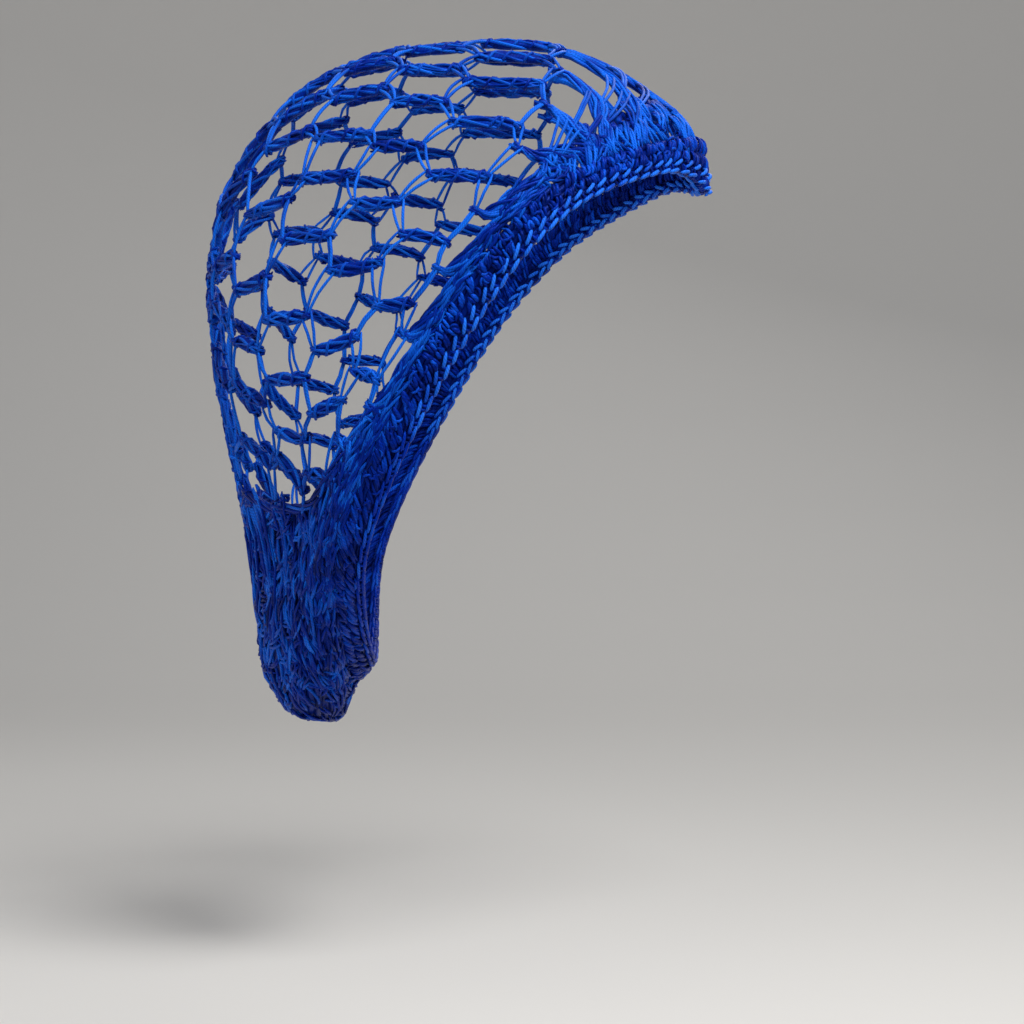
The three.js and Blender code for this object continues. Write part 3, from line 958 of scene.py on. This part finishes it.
# Filaments are a tenth of a millimetre: drawn about four times too coarse, so that they show
FILAMENTS_PER_MM = 2.6
# Patches of about 11 mm in which the dye took a little more or less
PATCHES_PER_MM = 0.09
# How far the grooves between plies are mixed towards the deep colour: painted shade
GROOVE_SHADE = 0.6
PLY_HEIGHT = 0.12
RAYON_IOR = 1.53


def rayon_yarn(name, deep, mid, bright):
    """Rayon crochet yarn, plied and smooth: long filaments give it a silky gloss along the plies,
    and the grooves between the plies are mixed towards the deep colour, a painted shade."""
    material = bpy.data.materials.new(name)
    material.use_nodes = True
    tree = material.node_tree
    tree.nodes.clear()
    uv = add(tree, "ShaderNodeUVMap", uv_map="yarn")
    parts = add(tree, "ShaderNodeSeparateXYZ", {0: uv.outputs["UV"]})
    # The plies turn round the yarn once in a lay
    turned = add(tree, "ShaderNodeMath", {0: parts.outputs["X"], 1: parts.outputs["Y"]},
                 operation="ADD")
    plies = add(tree, "ShaderNodeMath", {0: turned.outputs[0], 1: PLIES * TURN},
                operation="MULTIPLY")
    wave = add(tree, "ShaderNodeMath", {0: plies.outputs[0]}, operation="COSINE")
    ridge = add(tree, "ShaderNodeMapRange", {"Value": wave.outputs[0], "From Min": -1.0,
                                             "From Max": 1.0, "To Min": GROOVE_SHADE,
                                             "To Max": 1.0})
    position = add(tree, "ShaderNodeTexCoord")
    filaments = add(tree, "ShaderNodeTexNoise",
                    {"Vector": position.outputs["Object"], "Scale": FILAMENTS_PER_MM / MM,
                     "Detail": 2.0})
    # Each strand has a shade, random in part and in part painted light and shade from where the
    # strand lies, and the dye's patches cross them
    shade = add(tree, "ShaderNodeAttribute", attribute_name="shade")
    patches = add(tree, "ShaderNodeTexNoise",
                  {"Vector": position.outputs["Object"], "Scale": PATCHES_PER_MM / MM,
                   "Detail": 2.0})
    both = add(tree, "ShaderNodeMath", {0: shade.outputs["Fac"], 1: patches.outputs["Fac"]},
               operation="ADD")
    tone = add(tree, "ShaderNodeMapRange", {"Value": both.outputs[0], "From Min": 0.45,
                                            "From Max": 1.4, "To Min": 0.0, "To Max": 1.0})
    ramp = add(tree, "ShaderNodeValToRGB", {"Fac": tone.outputs["Result"]})
    ramp.color_ramp.elements[0].color = colour(deep)
    ramp.color_ramp.elements[1].color = colour(bright)
    middle = ramp.color_ramp.elements.new(0.5)
    middle.color = colour(mid)
    # Inputs 6 and 7 are the two colours of a colour mix: the deep colour in the grooves is painted
    # shade
    shadowed = add(tree, "ShaderNodeMix", {"Factor": ridge.outputs["Result"], 6: colour(deep),
                                           7: ramp.outputs["Color"]}, data_type="RGBA")
    height = add(tree, "ShaderNodeMath", {0: ridge.outputs["Result"],
                                          1: filaments.outputs["Fac"]}, operation="ADD")
    bump = add(tree, "ShaderNodeBump", {"Height": height.outputs[0], "Strength": 0.5,
                                        "Distance": PLY_HEIGHT * MM})
    shader = add(tree, "ShaderNodeBsdfPrincipled",
                 {"Base Color": shadowed.outputs[2], "Normal": bump.outputs["Normal"],
                  "Roughness": 0.42, "IOR": RAYON_IOR, "Specular Tint": colour("#2A66FF"),
                  "Sheen Weight": 0.04, "Sheen Roughness": 0.4, "Sheen Tint": colour("#3C7CFF")})
    add(tree, "ShaderNodeOutputMaterial", {"Surface": shader.outputs["BSDF"]})
    return material


def plain_finish(name, hex_code, roughness):
    """One even colour and gloss, for the floor: painted board spreads the light softly."""
    material = bpy.data.materials.new(name)
    material.use_nodes = True
    shader = material.node_tree.nodes["Principled BSDF"]
    shader.inputs["Base Color"].default_value = colour(hex_code)
    shader.inputs["Roughness"].default_value = roughness
    return material


# Camera, floor and light

# The photograph's scale and size, the pixels of the snood's back, crown and ground, and how far
# in front of its middle plane the camera stands, in millimetres
MM_PER_PIXEL = 0.36
PHOTO_PIXELS = 1024
BACK_PIXEL = 212
CROWN_PIXEL = 44
FLOOR_PIXEL = 965
CAMERA_DISTANCE = 800.0
SENSOR_WIDTH = 36.0

# The floor in metres: half its width, where its front lies, its depth, the radius in which it turns
# up, and the wall's height
FLOOR_HALF_WIDTH = 4
FLOOR_FRONT = -1.4
FLOOR_DEPTH = 2.4
FLOOR_TURN = 0.8
WALL_HEIGHT = 2.2

# The lamps: name, place and size in metres, and watts; all point at the middle of the snood
LAMPS = (
    ("key", (0.22, -0.42, 0.42), 0.3, 5.6),
    ("fill", (-1.1, -0.7, 0.2), 1.0, 4.2),
    ("back", (0.4, 1.1, 0.8), 0.9, 4.0),
)
LAMPS_POINT_AT = (0.0, 0.0, -0.1)
ROOM_LIGHT = 0.42


def photo_place(pixel_x, pixel_y):
    """Where a pixel of the photograph lies on the middle plane, in metres."""
    x = (pixel_x - BACK_PIXEL) * MM_PER_PIXEL - SEAT[0]
    z = -(pixel_y - CROWN_PIXEL) * MM_PER_PIXEL - SEAT[2]
    return x * MM, z * MM


def set_camera():
    """Square on to the near side, with the photograph's frame and scale at the middle plane."""
    data = bpy.data.cameras.new("camera")
    data.sensor_width = SENSOR_WIDTH
    data.lens = SENSOR_WIDTH * CAMERA_DISTANCE / (PHOTO_PIXELS * MM_PER_PIXEL)
    camera = bpy.data.objects.new("camera", data)
    x, z = photo_place(PHOTO_PIXELS / 2, PHOTO_PIXELS / 2)
    camera.location = (x, -CAMERA_DISTANCE * MM, z)
    camera.rotation_euler = (math.radians(90), 0, 0)
    bpy.context.scene.collection.objects.link(camera)
    bpy.context.scene.camera = camera


def set_floor():
    """A pale floor that turns up into a wall behind."""
    shape = bmesh.new()
    bmesh.ops.create_grid(shape, x_segments=2, y_segments=40, size=1.0)
    turn_run = FLOOR_TURN * math.pi / 2
    for vert in shape.verts:
        run = (vert.co.y + 1) / 2 * (FLOOR_DEPTH + turn_run + WALL_HEIGHT)
        x = vert.co.x * FLOOR_HALF_WIDTH
        if run < FLOOR_DEPTH:
            vert.co = (x, run, 0)
        elif run < FLOOR_DEPTH + turn_run:
            angle = (run - FLOOR_DEPTH) / FLOOR_TURN
            vert.co = (x, FLOOR_DEPTH + FLOOR_TURN * math.sin(angle),
                       FLOOR_TURN * (1 - math.cos(angle)))
        else:
            vert.co = (x, FLOOR_DEPTH + FLOOR_TURN, run - FLOOR_DEPTH - turn_run + FLOOR_TURN)
    _, floor_z = photo_place(0, FLOOR_PIXEL)
    bmesh.ops.translate(shape, verts=shape.verts, vec=(0, FLOOR_FRONT, floor_z))
    bmesh.ops.recalc_face_normals(shape, faces=shape.faces)
    mesh = bpy.data.meshes.new("floor")
    shape.to_mesh(mesh)
    shape.free()
    for face in mesh.polygons:
        face.use_smooth = True
    mesh.materials.append(plain_finish("matt painted board", "#DAD7D2", 0.85))
    floor = bpy.data.objects.new("floor", mesh)
    bpy.context.scene.collection.objects.link(floor)


def set_lights():
    """Three soft lamps and the light of the room."""
    for name, location, size, watts in LAMPS:
        data = bpy.data.lights.new(name, "AREA")
        data.size = size
        data.energy = watts
        lamp = bpy.data.objects.new(name, data)
        lamp.location = location
        towards = np.array(LAMPS_POINT_AT) - np.array(location)
        yaw = math.atan2(towards[1], towards[0])
        pitch = math.atan2(-towards[2], math.hypot(towards[0], towards[1]))
        lamp.rotation_euler = (math.pi / 2 - pitch, 0, yaw - math.pi / 2)
        bpy.context.scene.collection.objects.link(lamp)
    world = bpy.data.worlds.new("studio")
    world.use_nodes = True
    world.node_tree.nodes["Background"].inputs["Color"].default_value = colour("#DDE0E6")
    world.node_tree.nodes["Background"].inputs["Strength"].default_value = ROOM_LIGHT
    bpy.context.scene.world = world
    bpy.context.scene.view_settings.view_transform = "Standard"


set_camera()
set_floor()
set_lights()

net_yarn = rayon_yarn("royal blue rayon yarn", "#00083E", "#00228C", "#1268E2")
band_yarn = rayon_yarn("royal blue rayon yarn, worked close", "#000840", "#00228C", "#0E5AE0")
edge_yarn = rayon_yarn("royal blue rayon yarn, edge", "#000A48", "#022EA8", "#2476F4")

net_pieces = [
    make_piece("net_back", net_rounds(0, 2, 11), net_yarn),
    make_piece("net_middle", net_rounds(3, 4, 12), net_yarn),
    make_piece("net_front", net_rounds(5, LAST_OPEN_ROUND, 13), net_yarn),
    make_piece("band_gathers", band_gathers(15), net_yarn),
    make_piece("gathered_chains", gathered_chains(16), net_yarn),
    make_piece("pouch_folds", pouch_folds(17), net_yarn),
]
for piece in net_pieces:
    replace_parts(piece, "net_bag")
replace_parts(make_piece("band_stitches", band_stitches(18), band_yarn), "brim_band")
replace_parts(make_piece("edge_stitches", edge_stitches(19), edge_yarn), "edge_chain")
